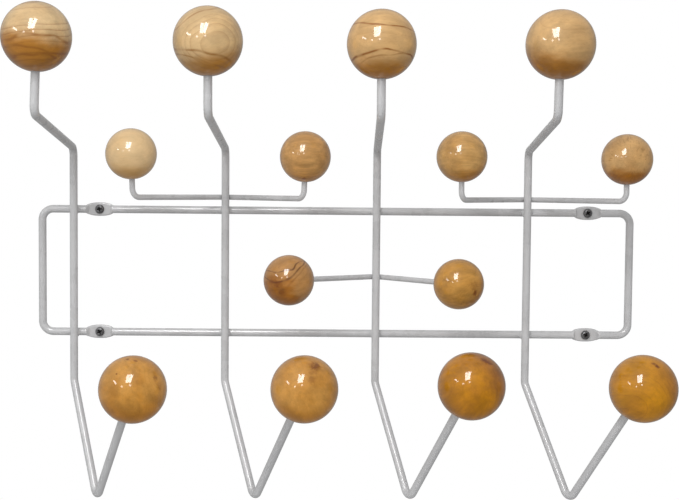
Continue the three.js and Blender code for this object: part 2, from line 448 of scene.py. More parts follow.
@dataclass(frozen=True)
class Vein:
    """A thin dark mineral line, where a bowed sheet cuts the ball.

    The sheet is level but for its tilt, in degrees, and sizes are in ball radii.
    """

    tilt: float
    offset: float
    width: float = 0.03
    depth: float = 0.7
    bow: float = 0.0
    wave: float = 0.2
    seed: float = 0.0

    @property
    def upright(self) -> Vector:
        """The way straight out of the sheet's upper face."""
        tilt = math.radians(self.tilt)
        return Vector((math.sin(tilt), 0, math.cos(tilt)))


@dataclass(frozen=True)
class ShadeFlush:
    """A deeper, warmer tone that comes on across the ball. Where it runs towards the ball's bottom, as on
    most balls, it is painted shade; the third and fourth bottom balls have it towards their right side.
    Places are in ball radii.
    """

    towards: Triple = (0, 0, -1)
    start: float = -0.1
    full: float = 0.8
    ragged: float = 0.35
    depth: float = 1.0


@dataclass(frozen=True)
class Maple:
    """Maple under clear gloss lacquer, its growth rings cut through as a solid.

    The pattern is in ball radii, and a size of its own is in features a radius. The trunk lies
    along the turned pattern's Z, and heart is the way from the trunk's middle to the ball's.
    """

    early: Colour
    late: Colour
    warm_tone_and_shade: Colour
    slot: Slot
    turn: Triple = (0, 90, 0)
    heart: tuple[float, float] = (1.6, 0.9)
    ring_width: float = 0.13
    ring_depth: float = 0.3
    sharpness: float = 6.0
    wander: float = 0.12
    mottle: float = 0.3
    mottle_size: float = 1.1
    clouds: float = 0.12
    streaks: float = 0.25
    streak_count: float = 7.0
    rays: float = 0.0
    flecks: float = 0.15
    shade_flush: ShadeFlush = ShadeFlush()
    knots: tuple[Knot, ...] = ()
    veins: tuple[Vein, ...] = ()
    seed: float = 0.0
    wander_size: float = 0.7
    fine_streak_count: float = 26.0
    ray_count: float = 5.0
    ray_spacing: float = 2.2
    ray_size: float = 2.2
    shade_flush_size: float = 1.5
    vein_size: float = 1.25
    faint_size: float = 2.3
    fleck_size: float = 30.0
    cloud_size: float = 2.1
    fibre_height: float = 0.012 * MM
    wood_gloss: float = 0.2
    lacquer_roughness: float = 0.055
    lacquer_ior: float = 1.57
    ripple_size: float = 1.6
    ripple_height: float = 0.03 * MM

    def make(self, name: str, centre: Vector, radius: float) -> bpy.types.Material:
        """Builds the wood of one ball.

        Args:
            name: The material's name.
            centre: The ball's centre.
            radius: The ball's radius.

        Returns:
            The material.
        """
        shader = Shader(name)
        plain = shader.place(centre, scale=radius)
        trunk = shader.place(centre, self.turn, radius)
        shifted = shader.vector("ADD", trunk, (self.seed, -self.seed, 0.37 * self.seed))
        cores, pull = self.knot_fields(shader, plain)
        fibre = self.fibre(shader, shifted)

        mottle = shader.remap(shader.noise(shifted, self.mottle_size, 3.0, 0.55), 0.38, 0.68)
        # the warmer colour serves both as random mottle here and as painted shade in the flush below
        wood = shader.mix(shader.math("MULTIPLY", mottle, self.mottle), self.early, self.warm_tone_and_shade)
        # painted shade: the flush darkens and warms the wood, on most balls towards the bottom
        wood = shader.mix(self.shade_flush_field(shader, plain), wood, self.warm_tone_and_shade)
        late = shader.math("MULTIPLY", self.rings(shader, trunk, shifted, pull), self.ring_depth)
        if self.rays:
            rays = shader.math("MULTIPLY", self.ray_field(shader, trunk), self.rays)
            late = shader.math("ADD", late, rays, clamp=True)
        fleck_place = shader.vector("MULTIPLY", shifted, (1, 1, 0.2))
        fleck = shader.noise(fleck_place, self.fleck_size, 1.0)
        fleck = shader.remap(fleck, 0.62, 0.76, 0.0, self.flecks)
        late = shader.math("ADD", late, fleck, clamp=True)
        wood = shader.mix(late, wood, self.late)
        swing = shader.remap(fibre, 0.3, 0.7, 1 - self.streaks, 1 + 0.6 * self.streaks, smooth=False)
        cloud = shader.vector("MULTIPLY", shifted, (1, 1, 0.45))
        cloud = shader.noise(cloud, self.cloud_size, 4.0, 0.62)
        cloud = shader.remap(cloud, 0.34, 0.66, 1 + 0.8 * self.clouds, 1 - 1.2 * self.clouds)
        wood = shader.vector("SCALE", wood, scale=shader.math("MULTIPLY", swing, cloud))
        marks = self.vein_field(shader, plain)
        for darkness, tone in ((marks, self.late), (cores, KNOT_BROWN)):
            if darkness is not None:
                wood = shader.mix(darkness, wood, tone)

        ripple = shader.noise(shifted, self.ripple_size, 0.0)
        shader.set(
            Base_Color=wood,
            Roughness=shader.remap(fibre, 0.3, 0.75, 0.42, 0.55),
            Specular_IOR_Level=self.wood_gloss,
            Normal=shader.bump(fibre, self.fibre_height),
            Coat_Weight=1.0,
            Coat_Roughness=self.lacquer_roughness,
            Coat_IOR=self.lacquer_ior,
            Coat_Normal=shader.bump(ripple, self.ripple_height),
        )
        return shader.material

    def rings(self, shader: Shader, trunk: Socket, shifted: Socket, pull: Number) -> Socket:
        """Works out the dark edges of the growth rings, each year's of its own strength.

        Args:
            shader: The material's nodes.
            trunk: The coordinates along the trunk.
            shifted: The same coordinates, moved by the seed.
            pull: How far the knots push the rings aside, in rings.

        Returns:
            The rings' darkness.
        """
        drift = shader.noise(shifted, self.wander_size, 2.0, 0.45, output="Color")
        drift = shader.vector("SUBTRACT", drift, (0.5, 0.5, 0.5))
        drift = shader.vector("SCALE", drift, scale=2 * self.wander)
        bent = shader.vector("ADD", shader.vector("ADD", trunk, drift), (*self.heart, 0))
        reach = shader.vector("LENGTH", shader.vector("MULTIPLY", bent, (1, 1, 0)), output="Value")
        rings = shader.math("ADD", shader.math("DIVIDE", reach, self.ring_width), pull)
        phase = shader.math("FRACT", rings)
        inputs = {0: shader.math("FLOOR", rings), 1: self.seed + 0.5}
        year = shader.add("ShaderNodeCombineXYZ", inputs).outputs[0]
        strength = shader.remap(shader.noise(year, 0.77, 1.0), 0.40, 0.62, 0.08, 1.0)
        edge = shader.remap(phase, 0.93, 1.0, 1.0, 0.0)
        line = shader.math("MULTIPLY", shader.math("POWER", phase, self.sharpness), edge)
        return shader.math("MULTIPLY", line, strength)

    def fibre(self, shader: Shader, shifted: Socket) -> Socket:
        """Works out the long fine streaks of the fibres.

        Args:
            shader: The material's nodes.
            shifted: The coordinates along the trunk, moved by the seed.

        Returns:
            The streaks' tone, from 0 to 1.
        """
        drawn_out = shader.vector("MULTIPLY", shifted, (1, 1, 0.08))
        coarse = shader.noise(drawn_out, self.streak_count, 4.0, 0.62)
        drawn_finer = shader.vector("MULTIPLY", shifted, (1, 1, 0.05))
        fine = shader.noise(drawn_finer, self.fine_streak_count, 2.0, 0.6)
        return shader.math("ADD", shader.math("MULTIPLY", coarse, 0.7), shader.math("MULTIPLY", fine, 0.3))

    def ray_field(self, shader: Shader, trunk: Socket) -> Socket:
        """Works out the short dashes of the rays, which run out from the heart.

        Args:
            shader: The material's nodes.
            trunk: The coordinates along the trunk.

        Returns:
            The dashes' darkness.
        """
        about = shader.vector("ADD", trunk, (*self.heart, 0))
        parts = shader.add("ShaderNodeSeparateXYZ", {0: about}).outputs
        angle = shader.math("ARCTAN2", parts[1], parts[0])
        reach = shader.vector("LENGTH", shader.vector("MULTIPLY", about, (1, 1, 0)), output="Value")
        round_heart = shader.math("MULTIPLY", angle, self.ray_count)
        outwards = shader.math("MULTIPLY", reach, self.ray_spacing)
        inputs = {0: round_heart, 1: outwards, 2: parts[2]}
        polar = shader.add("ShaderNodeCombineXYZ", inputs).outputs[0]
        return shader.remap(shader.noise(polar, self.ray_size, 1.0), 0.60, 0.72)

    def shade_flush_field(self, shader: Shader, plain: Socket) -> Socket:
        """Works out how far the deeper, warmer tone has come on: painted shade where it runs towards the
        ball's bottom.

        Args:
            shader: The material's nodes.
            plain: The coordinates about the ball's centre.

        Returns:
            The share of the warmer tone.
        """
        shade_flush = self.shade_flush
        along = shader.vector("DOT_PRODUCT", plain, Vector(shade_flush.towards).normalized(), output="Value")
        flattened = shader.vector("MULTIPLY", plain, (0.6, 0.6, 1.6))
        ragged = shader.noise(flattened, self.shade_flush_size, 3.0, 0.6)
        ragged = shader.remap(ragged, 0, 1, -shade_flush.ragged, shade_flush.ragged, smooth=False)
        along = shader.math("ADD", along, ragged)
        return shader.remap(along, shade_flush.start, shade_flush.full, 0.0, shade_flush.depth)

    def vein_field(self, shader: Shader, plain: Socket) -> Socket | None:
        """Works out the mineral lines.

        Args:
            shader: The material's nodes.
            plain: The coordinates about the ball's centre.

        Returns:
            The lines' darkness, or None if the ball has none.
        """
        marks: Socket | None = None
        for vein in self.veins:
            side = vein.upright.cross(Vector((0, 1, 0)))
            along = shader.vector("DOT_PRODUCT", plain, vein.upright, output="Value")
            across = shader.vector("DOT_PRODUCT", plain, side, output="Value")
            bow = shader.math("MULTIPLY", shader.math("MULTIPLY", across, across), vein.bow)
            level = shader.math("ADD", along, bow)
            moved = shader.vector("ADD", plain, (vein.seed, 0, vein.seed))
            wave = shader.noise(moved, self.vein_size, 0.6, 0.5)
            wave = shader.remap(wave, 0, 1, -vein.wave - vein.offset, vein.wave - vein.offset, smooth=False)
            gap = shader.math("ABSOLUTE", shader.math("ADD", level, wave))
            faint = shader.noise(moved, self.faint_size, 1.0, 0.6)
            depth = shader.remap(faint, 0.3, 0.6, 0.3 * vein.depth, vein.depth)
            line = shader.math("MULTIPLY", shader.remap(gap, 0.0, 1.3 * vein.width, 1.0, 0.0), depth)
            marks = line if marks is None else shader.math("MAXIMUM", marks, line)
        return marks

    def knot_fields(self, shader: Shader, plain: Socket) -> tuple[Socket | None, Number]:
        """Works out where the knots are dark and how far they push the rings aside.

        Args:
            shader: The material's nodes.
            plain: The coordinates about the ball's centre.

        Returns:
            The darkness of the knots' cores, or None, and the rings' shift, in rings.
        """
        cores: Socket | None = None
        pull: Number = 0.0
        ragged = shader.noise(plain, 9.0, 3.0, 0.65)
        for knot in self.knots:
            gap = shader.vector("DISTANCE", plain, knot.towards, output="Value")
            torn = shader.remap(ragged, 0.2, 0.8, -0.6 * knot.size, 0.6 * knot.size, smooth=False)
            gap = shader.math("ADD", gap, torn)
            core = shader.remap(gap, 0.2 * knot.size, 1.3 * knot.size, knot.depth, 0.0)
            push = shader.remap(gap, 0.0, 6 * knot.size, 2.4 * knot.pull, 0.0)
            cores = core if cores is None else shader.math("MAXIMUM", cores, core)
            pull = shader.math("ADD", pull, push)
        return cores, pull


@dataclass(frozen=True)
class Card:
    """Plain matt paper-white, for the floor."""

    colour: Colour = linear(244, 244, 242)

    def make(self, name: str) -> bpy.types.Material:
        """Builds the floor's material.

        Args:
            name: The material's name.

        Returns:
            The material.
        """
        shader = Shader(name)
        shader.set(Base_Color=(*self.colour, 1.0), Roughness=0.9)
        return shader.material


# ---------------------------------------------------------------- wire


class WireFormer:
    """Forms wire as a bench bender does: it feeds a round section forward and turns it about pins."""

    BEND_STEP = math.radians(5)
    FEWEST_STEPS = 4
    WELD_DISTANCE = 0.02 * MM

    def __init__(self, start: Vector, heading: Vector, diameter: float, sides: int = 32,
                 capped: bool = True) -> None:
        """Sets the first section.

        Args:
            start: The section's centre.
            heading: The way the wire is fed.
            diameter: The wire's diameter.
            sides: The section's corners.
            capped: Whether the first end is closed.
        """
        self.bm = bmesh.new()
        self.here = start.copy()
        self.heading = heading.normalized()
        facing = Matrix.Translation(start) @ self.heading.to_track_quat("Z", "Y").to_matrix().to_4x4()
        made = bmesh.ops.create_circle(self.bm, cap_ends=capped, radius=diameter / 2, segments=sides,
                                       matrix=facing)
        self.ring = self.edges_within(made["verts"])

    @staticmethod
    def edges_within(verts: Sequence[bmesh.types.BMVert]) -> list[bmesh.types.BMEdge]:
        """Finds the edges whose two ends are both among the vertices.

        Args:
            verts: The vertices.

        Returns:
            The edges, in no set order.
        """
        inside = set(verts)
        edges = {edge for vert in inside for edge in vert.link_edges}
        return [edge for edge in edges if set(edge.verts) <= inside]

    def feed(self, length: float, steps: int = 1) -> None:
        """Feeds the wire straight forward.

        Args:
            length: How far.
            steps: How many sections it takes.
        """
        for _ in range(steps):
            made = bmesh.ops.extrude_edge_only(self.bm, edges=self.ring)
            verts = [item for item in made["geom"] if isinstance(item, bmesh.types.BMVert)]
            bmesh.ops.translate(self.bm, verts=verts, vec=self.heading * (length / steps))
            self.ring = self.edges_within(verts)
        self.here += self.heading * length

    def turn(self, towards: Vector, radius: float) -> None:
        """Bends the wire about a pin until it heads another way.

        Args:
            towards: The new heading.
            radius: The bend's centre-line radius.
        """
        new = towards.normalized()
        angle = self.heading.angle(new)
        side = (new - self.heading * new.dot(self.heading)).normalized()
        axis = self.heading.cross(new).normalized()
        pin = self.here + side * radius
        steps = max(self.FEWEST_STEPS, math.ceil(angle / self.BEND_STEP))
        verts = {vert for edge in self.ring for vert in edge.verts}
        made = bmesh.ops.spin(self.bm, geom=[*verts, *self.ring], cent=pin, axis=axis, dvec=(0, 0, 0),
                              angle=angle, steps=steps, use_merge=False, use_duplicate=False)
        last = [item for item in made["geom_last"] if isinstance(item, bmesh.types.BMVert)]
        self.ring = self.edges_within(last)
        self.here = pin + Matrix.Rotation(angle, 3, axis) @ (self.here - pin)
        self.heading = new

    def through(self, corners: Sequence[Vector], radii: Sequence[float]) -> None:
        """Forms the wire through corners, from where it is to the last one.

        Args:
            corners: The inner corners and then the end point.
            radii: One bend radius for each inner corner.
        """
        for corner, after, radius in zip(corners, corners[1:], radii):
            onward = (after - corner).normalized()
            setback = radius * math.tan(self.heading.angle(onward) / 2)
            self.feed((corner - self.here).length - setback)
            self.turn(onward, radius)
        self.feed((corners[-1] - self.here).length)

    def cap(self) -> bmesh.types.BMesh:
        """Closes the last section and gives the mesh."""
        bmesh.ops.edgeloop_fill(self.bm, edges=self.ring)
        return self.bm

    def join_ends(self) -> bmesh.types.BMesh:
        """Welds the last section to the first and gives the mesh."""
        bmesh.ops.remove_doubles(self.bm, verts=self.bm.verts, dist=self.WELD_DISTANCE)
        return self.bm


@dataclass
class WallLoop:
    """The closed loop of wire, with the four pads pressed into it.

    Each pair of end_steps is the length of the slopes at a pad's left and right ends, and the
    pads go from the top left to the bottom right.
    """

    paint: bpy.types.Material
    wire: float = 6.35 * MM
    bend: float = 9.0 * MM
    pad_length: float = 22.0 * MM
    pad_height: float = 11.3 * MM
    pad_thickness: float = 3.0 * MM
    pad_run: float = 3.4 * MM
    hole: float = 4.6 * MM
    pad_steps: int = 56
    pad_outline: float = 2.4
    pad_fullness: float = 0.85
    pad_overrun: float = 0.3 * MM
    pad_inset: float = 1.2 * MM
    side_steps: int = 6
    hole_sides: int = 40
    end_steps: tuple[tuple[float, float], ...] = (
        (3.4 * MM, 1.2 * MM), (1.0 * MM, 1.8 * MM), (3.4 * MM, 1.4 * MM), (1.0 * MM, 3.2 * MM))
    screws: list[Vector] = field(default_factory=list)

    def build(self) -> bpy.types.Object:
        """Builds the loop.

        Returns:
            The piece that stands for wall_frame.
        """
        names = [f"wall_screw_{row}_{side}" for row in ("top", "bottom") for side in ("left", "right")]
        self.screws = [centre_of(name) for name in names]
        low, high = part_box("wall_frame")
        half = self.wire / 2
        top, bottom = self.screws[0].z, self.screws[2].z
        left, right = low.x + half, high.x - half
        depth = -half
        middle = Vector(((left + right) / 2, depth, bottom))
        rightwards, side = Vector((1, 0, 0)), top - bottom - 2 * self.bend
        former = WireFormer(middle, rightwards, self.wire, capped=False)
        self.feed_past(former, [self.screws[3].x], right - self.bend)
        former.turn(UP, self.bend)
        former.feed(side, self.side_steps)
        former.turn(-rightwards, self.bend)
        self.feed_past(former, [self.screws[1].x, self.screws[0].x], left + self.bend)
        former.turn(-UP, self.bend)
        former.feed(side, self.side_steps)
        former.turn(rightwards, self.bend)
        self.feed_past(former, [self.screws[2].x], middle.x)
        bm = former.join_ends()
        for screw, ends in zip(self.screws, self.end_steps):
            self.press(bm, screw, *ends)
        bmesh.ops.recalc_face_normals(bm, faces=bm.faces)
        self.drill(bm)
        return finish_piece("wall_loop", bm, self.paint, ["wall_frame"])

    def feed_past(self, former: WireFormer, pads: Sequence[float], end: float) -> None:
        """Feeds a bar along X, with close sections where its pads will be pressed.

        Args:
            former: The wire's former, heading along X.
            pads: The pads' places along X, in the order they are passed.
            end: Where the bar stops.
        """
        sense = 1 if former.heading.x > 0 else -1
        reach = self.pad_length / 2 + self.pad_run
        for pad in pads:
            former.feed(abs(pad - former.here.x) - reach, 4)
            former.feed(2 * reach, self.pad_steps)
        former.feed(sense * (end - former.here.x), 4)

    def press(self, bm: bmesh.types.BMesh, screw: Vector, left_step: float, right_step: float) -> None:
        """Presses one pad: the wire is squeezed against the wall plane and spreads up and down.

        Args:
            bm: The loop's mesh.
            screw: The middle of the pad's screw.
            left_step: How long the slope down to the pad's face is at its left end.
            right_step: The same at its right end.
        """
        half = self.wire / 2
        end = self.pad_length / 2
        for vert in bm.verts:
            along = vert.co.x - screw.x
            rise = vert.co.z - screw.z
            if abs(along) > end + self.pad_run or abs(rise) > self.wire:
                continue
            step = left_step if along < 0 else right_step
            squeeze = min(max((end - self.pad_inset + step / 2 - abs(along)) / step, 0), 1)
            squeeze = squeeze * squeeze * (3 - 2 * squeeze)
            outline = 1 - abs(along / (end + self.pad_overrun)) ** self.pad_outline
            spread = max(0.0, outline) ** self.pad_fullness
            thickness = self.wire + (self.pad_thickness - self.wire) * squeeze
            inner = (vert.co.y + half) / half
            limit = thickness / self.wire
            flat = max(-1.0, min(1.0, inner / limit)) * thickness / 2 if squeeze > 0 else inner * half
            vert.co.y = flat - thickness / 2
            vert.co.z = screw.z + rise * (1 + (self.pad_height / self.wire - 1) * spread)

    def drill(self, bm: bmesh.types.BMesh) -> None:
        """Drills the screw holes through the pads.

        Args:
            bm: The loop's mesh, which is changed in place.
        """
        mesh = bpy.data.meshes.new("loop_blank")
        bm.to_mesh(mesh)
        blank = bpy.data.objects.new("loop_blank", mesh)
        bits = bmesh.new()
        for screw in self.screws:
            facing = Matrix.Translation((screw.x, 0, screw.z)) @ Matrix.Rotation(math.pi / 2, 4, "X")
            bmesh.ops.create_cone(bits, cap_ends=True, segments=self.hole_sides, radius1=self.hole / 2,
                                  radius2=self.hole / 2, depth=4 * self.wire, matrix=facing)
        bit_mesh = bpy.data.meshes.new("drill_bits")
        bits.to_mesh(bit_mesh)
        bits.free()
        drill = bpy.data.objects.new("drill_bits", bit_mesh)
        for item in (blank, drill):
            bpy.context.scene.collection.objects.link(item)
        cut = blank.modifiers.new("holes", "BOOLEAN")
        cut.operation = "DIFFERENCE"
        cut.solver = "EXACT"
        cut.object = drill
        graph = bpy.context.evaluated_depsgraph_get()
        drilled = bpy.data.meshes.new_from_object(blank.evaluated_get(graph))
        bm.clear()
        bm.from_mesh(drilled)
        for item in (blank, drill):
            bpy.data.objects.remove(item)
        for spent in (mesh, bit_mesh, drilled):
            bpy.data.meshes.remove(spent)


@dataclass
class Hook:
    """One hook: a wire from the top ball down its upright and round the V to the bottom ball.

    The hooks aren't quite alike: the shifts say how far right of the pattern each one's bends lie.
    """

    number: int
    paint: bpy.types.Material
    wire: float = 6.35 * MM
    bend: float = 8.0 * MM
    tip_bend: float = 6.5 * MM
    upright_top: float = 101.5 * MM
    upright_bottom: float = -91.0 * MM
    shelf_end: float = 121.4 * MM
    tip_reach: float = 55.4 * MM
    tip_height: float = -178.0 * MM
    swing: float = 30.1
    shelf_shifts: tuple[float, ...] = (-1.0 * MM, -2.0 * MM, -3.0 * MM, -1.0 * MM)
    tip_shifts: tuple[float, ...] = (0.0, 0.0, -2.0 * MM, 1.0 * MM)
    inset: float = 27.3 * MM
    pitch: float = 125.0 * MM
    bore_stop: float = 3.0 * MM

    @property
    def foot(self) -> Vector:
        """Where the upright's line crosses the middle height.

        Returns:
            The point.
        """
        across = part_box("wall_frame")[0].x + self.wire / 2 + self.inset + (self.number - 1) * self.pitch
        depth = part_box(f"hook_wire_{self.number}")[1].y - self.wire / 2
        return Vector((across, depth, 0))

    @property
    def tip(self) -> Vector:
        """The corner at the bottom of the V.

        Returns:
            The corner.
        """
        turn = math.radians(self.swing)
        reach = Vector((math.sin(turn), -math.cos(turn), 0)) * self.tip_reach
        return self.foot + reach + Vector((self.tip_shifts[self.number - 1], 0, self.tip_height))

    @property
    def shelf_corner(self) -> Vector:
        """The corner under the top ball."""
        across = self.foot.x + self.shelf_shifts[self.number - 1]
        return Vector((across, centre_of(f"top_ball_{self.number}").y, self.shelf_end))

    def build(self) -> bpy.types.Object:
        """Builds the hook's wire.

        Returns:
            The piece that stands for the hook's wire.
        """
        top_ball = centre_of(f"top_ball_{self.number}")
        bottom_ball = centre_of(f"bottom_ball_{self.number}")
        down = (self.shelf_corner - top_ball).normalized()
        into_bottom = (bottom_ball - self.tip).normalized()
        corners = [
            self.shelf_corner,
            self.foot + UP * self.upright_top,
            self.foot + UP * self.upright_bottom,
            self.tip,
            bottom_ball - into_bottom * self.bore_stop,
        ]
        former = WireFormer(top_ball + down * self.bore_stop, down, self.wire)
        former.through(corners, [self.bend, self.bend, self.bend, self.tip_bend])
        name = f"hook_{self.number}"
        return finish_piece(name, former.cap(), self.paint, [f"hook_wire_{self.number}"])


@dataclass
class Arm:
    """One forked arm: a thin wire folded behind a hook, with a ball on each end.

    Where its ends turn up, turns says how far right of the hook the two corners are.
    """

    node: str
    hook: Hook
    paint: bpy.types.Material
    turns: tuple[float, float] | None = None
    wire: float = 4.3 * MM
    bend: float = 7.0 * MM
    gap: float = 0.3 * MM
    height: float = 61.9 * MM
    bore_stop: float = 3.0 * MM

    @property
    def fold(self) -> float:
        """The fold's centre-line radius, which wraps the hook's upright."""
        return (self.hook.wire + self.wire) / 2 + self.gap

    @property
    def run_ends(self) -> tuple[Vector, Vector]:
        """The far ends of the two straight runs: the corners that turn up, or the balls.

        Returns:
            The left end and the right end.
        """
        balls = [centre_of(f"{self.node}_ball_{side}") for side in ("left", "right")]
        if not self.turns:
            return balls[0], balls[1]
        corners = [Vector((self.hook.foot.x + shift, ball.y, self.height))
                   for shift, ball in zip(self.turns, balls)]
        return corners[0], corners[1]

    def fold_corner(self, left: Vector, right: Vector) -> Vector:
        """Finds where the arm's two straight runs would meet behind the upright.

        Args:
            left: The left run's far end.
            right: The right run's far end.

        Returns:
            The corner, at the arm's height.
        """
        foot = self.hook.foot
        normals = []
        for end, sense in ((left, -1), (right, 1)):
            flat = (end - foot).to_2d()
            angle = sense * math.acos(self.fold / flat.length)
            normals.append(Matrix.Rotation(angle, 2) @ flat.normalized())
        corner = (normals[0] + normals[1]) * (self.fold / (1 + normals[0].dot(normals[1])))
        return Vector((foot.x + corner.x, foot.y + corner.y, self.height))

    def build(self) -> bpy.types.Object:
        """Builds the arm's wire.

        Returns:
            The piece that stands for the arm.
        """
        left = centre_of(f"{self.node}_ball_left")
        right = centre_of(f"{self.node}_ball_right")
        left_run, right_run = self.run_ends
        fold = self.fold_corner(left_run, right_run)
        left_turn, right_turn = (left_run, right_run) if self.turns else (fold, fold)
        heading = (left_turn - left).normalized()
        start = left + heading * self.bore_stop
        stop = right + (right_turn - right).normalized() * self.bore_stop
        if self.turns:
            corners, radii = [left_turn, fold, right_turn, stop], [self.bend, self.fold, self.bend]
        else:
            corners, radii = [fold, stop], [self.fold]
        former = WireFormer(start, heading, self.wire, sides=28)
        former.through(corners, radii)
        return finish_piece(f"{self.node}_wire", former.cap(), self.paint, [self.node])


@dataclass
class Weld:
    """The metal squeezed out where two crossing wires are welded, under the paint."""

    name: str
    place: Vector
    paint: bpy.types.Material
    size: Triple = (9.2 * MM, 3.6 * MM, 8.6 * MM)
    lump: float = 0.35 * MM
    lump_size: float = 420.0

    def build(self) -> bpy.types.Object:
        """Builds the weld.

        Returns:
            The new piece.
        """
        bm = bmesh.new()
        bmesh.ops.create_icosphere(bm, subdivisions=4, radius=0.5)
        bmesh.ops.scale(bm, vec=self.size, verts=bm.verts)
        bmesh.ops.translate(bm, vec=self.place, verts=bm.verts)
        for vert in bm.verts:
            vert.co += vert.normal * self.lump * noise.noise(vert.co * self.lump_size)
        return finish_piece(self.name, bm, self.paint)


# ---------------------------------------------------------------- balls and screws


@dataclass
class Ball:
    """A turned wooden ball with a blind bore for its wire."""

    node: str
    finish: Maple
    wire: float
    bore_from: Vector
    radius: float
    clearance: float = 0.12 * MM
    lip: float = 0.35 * MM
    bore_end: float = 2.5 * MM
    segments: int = 72
    bands: int = 40
    merge: float = 0.005 * MM

    def build(self) -> bpy.types.Object:
        """Turns the ball.

        Returns:
            The piece that stands for the ball's node.
        """
        centre = centre_of(self.node)
        axis = (centre - self.bore_from).normalized()
        facing = Matrix.Translation(centre) @ axis.to_track_quat("Z", "Y").to_matrix().to_4x4()
        bore = self.wire / 2 + self.clearance
        mouth = math.asin((bore + self.lip) / self.radius)
        mouth_height = -self.radius * math.cos(mouth)
        profile = [Vector((0, 0, -self.bore_end)), Vector((bore, 0, -self.bore_end)),
                   Vector((bore, 0, mouth_height + self.lip)),
                   Vector((bore + 0.3 * self.lip, 0, mouth_height + 0.3 * self.lip))]
        for step in range(self.bands + 1):
            angle = mouth + (math.pi - mouth) * step / self.bands
            profile.append(Vector((self.radius * math.sin(angle), 0, -self.radius * math.cos(angle))))
        profile[-1].x = 0
        bm = bmesh.new()
        verts = [bm.verts.new(point) for point in profile]
        edges = [bm.edges.new(pair) for pair in zip(verts, verts[1:])]
        bmesh.ops.spin(bm, geom=[*verts, *edges], cent=(0, 0, 0), axis=(0, 0, 1), dvec=(0, 0, 0),
                       angle=2 * math.pi, steps=self.segments, use_merge=True, use_duplicate=False)
        bmesh.ops.remove_doubles(bm, verts=bm.verts, dist=self.merge)
        bmesh.ops.transform(bm, matrix=facing, verts=bm.verts)
        material = self.finish.make(f"maple_{self.node}", centre, self.radius)
        return finish_piece(f"{self.node}_turned", bm, material, [self.node])


